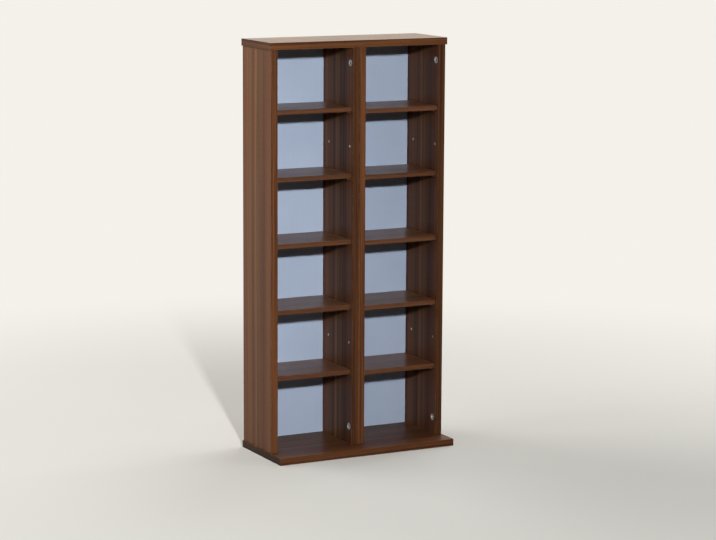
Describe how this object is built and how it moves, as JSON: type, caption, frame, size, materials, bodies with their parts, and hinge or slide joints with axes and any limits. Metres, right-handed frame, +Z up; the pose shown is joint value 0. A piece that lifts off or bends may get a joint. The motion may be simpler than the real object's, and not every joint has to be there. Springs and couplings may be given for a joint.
{
  "type": "disc storage rack",
  "caption": "Free-standing storage rack for disc cases with side-by-side columns of adjustable shelves, a double divider, a white back and a base reaching out in front.",
  "frame": {"origin": "on the floor, at the middle of the rack's width and of its whole depth, base and back included", "axes": "+Z up, +Y to the back, +X to the right as seen from the front"},
  "size_m": [0.42, 0.195, 0.89],
  "materials": {
    "walnut_decor": "satin walnut-print melamine on particle board, with darker printed edge bands",
    "shelf_decor": "satin walnut-print melamine on thin particle board",
    "white_backing": "white lacquered hardboard, bare brown on its rear",
    "zinc_cam": "bright die-cast zinc",
    "steel_pin": "dark bronzed steel"
  },
  "bodies": {
    "carcass": {"top_panel": "walnut_decor", "base_panel": "walnut_decor", "left_side": "walnut_decor", "left_divider": "walnut_decor", "right_divider": "walnut_decor", "right_side": "walnut_decor", "back_panel": "white_backing", "left_shelf_3": "shelf_decor", "right_shelf_3": "shelf_decor", "left_side_top_cam": "zinc_cam", "left_side_base_cam": "zinc_cam", "left_divider_top_cam": "zinc_cam", "left_divider_base_cam": "zinc_cam", "right_divider_top_cam": "zinc_cam", "right_divider_base_cam": "zinc_cam", "right_side_top_cam": "zinc_cam", "right_side_base_cam": "zinc_cam", "left_shelf_1_pin_left_front": "steel_pin", "left_shelf_1_pin_left_rear": "steel_pin", "left_shelf_1_pin_right_front": "steel_pin", "left_shelf_1_pin_right_rear": "steel_pin", "left_shelf_2_pin_left_front": "steel_pin", "left_shelf_2_pin_left_rear": "steel_pin", "left_shelf_2_pin_right_front": "steel_pin", "left_shelf_2_pin_right_rear": "steel_pin", "left_shelf_4_pin_left_front": "steel_pin", "left_shelf_4_pin_left_rear": "steel_pin", "left_shelf_4_pin_right_front": "steel_pin", "left_shelf_4_pin_right_rear": "steel_pin", "left_shelf_5_pin_left_front": "steel_pin", "left_shelf_5_pin_left_rear": "steel_pin", "left_shelf_5_pin_right_front": "steel_pin", "left_shelf_5_pin_right_rear": "steel_pin", "right_shelf_1_pin_left_front": "steel_pin", "right_shelf_1_pin_left_rear": "steel_pin", "right_shelf_1_pin_right_front": "steel_pin", "right_shelf_1_pin_right_rear": "steel_pin", "right_shelf_2_pin_left_front": "steel_pin", "right_shelf_2_pin_left_rear": "steel_pin", "right_shelf_2_pin_right_front": "steel_pin", "right_shelf_2_pin_right_rear": "steel_pin", "right_shelf_4_pin_left_front": "steel_pin", "right_shelf_4_pin_left_rear": "steel_pin", "right_shelf_4_pin_right_front": "steel_pin", "right_shelf_4_pin_right_rear": "steel_pin", "right_shelf_5_pin_left_front": "steel_pin", "right_shelf_5_pin_left_rear": "steel_pin", "right_shelf_5_pin_right_front": "steel_pin", "right_shelf_5_pin_right_rear": "steel_pin"},
    "left_shelf_1": {"left_shelf_1": "shelf_decor"},
    "left_shelf_2": {"left_shelf_2": "shelf_decor"},
    "left_shelf_4": {"left_shelf_4": "shelf_decor"},
    "left_shelf_5": {"left_shelf_5": "shelf_decor"},
    "right_shelf_1": {"right_shelf_1": "shelf_decor"},
    "right_shelf_2": {"right_shelf_2": "shelf_decor"},
    "right_shelf_4": {"right_shelf_4": "shelf_decor"},
    "right_shelf_5": {"right_shelf_5": "shelf_decor"}
  },
  "joints": [
    {"name": "left_shelf_1_slide", "type": "slide", "parent": "carcass", "child": "left_shelf_1", "axis": [0, -1, 0], "range_m": [0, 0.145]},
    {"name": "left_shelf_2_slide", "type": "slide", "parent": "carcass", "child": "left_shelf_2", "axis": [0, -1, 0], "range_m": [0, 0.145]},
    {"name": "left_shelf_4_slide", "type": "slide", "parent": "carcass", "child": "left_shelf_4", "axis": [0, -1, 0], "range_m": [0, 0.145]},
    {"name": "left_shelf_5_slide", "type": "slide", "parent": "carcass", "child": "left_shelf_5", "axis": [0, -1, 0], "range_m": [0, 0.145]},
    {"name": "right_shelf_1_slide", "type": "slide", "parent": "carcass", "child": "right_shelf_1", "axis": [0, -1, 0], "range_m": [0, 0.145]},
    {"name": "right_shelf_2_slide", "type": "slide", "parent": "carcass", "child": "right_shelf_2", "axis": [0, -1, 0], "range_m": [0, 0.145]},
    {"name": "right_shelf_4_slide", "type": "slide", "parent": "carcass", "child": "right_shelf_4", "axis": [0, -1, 0], "range_m": [0, 0.145]},
    {"name": "right_shelf_5_slide", "type": "slide", "parent": "carcass", "child": "right_shelf_5", "axis": [0, -1, 0], "range_m": [0, 0.145]}
  ]
}
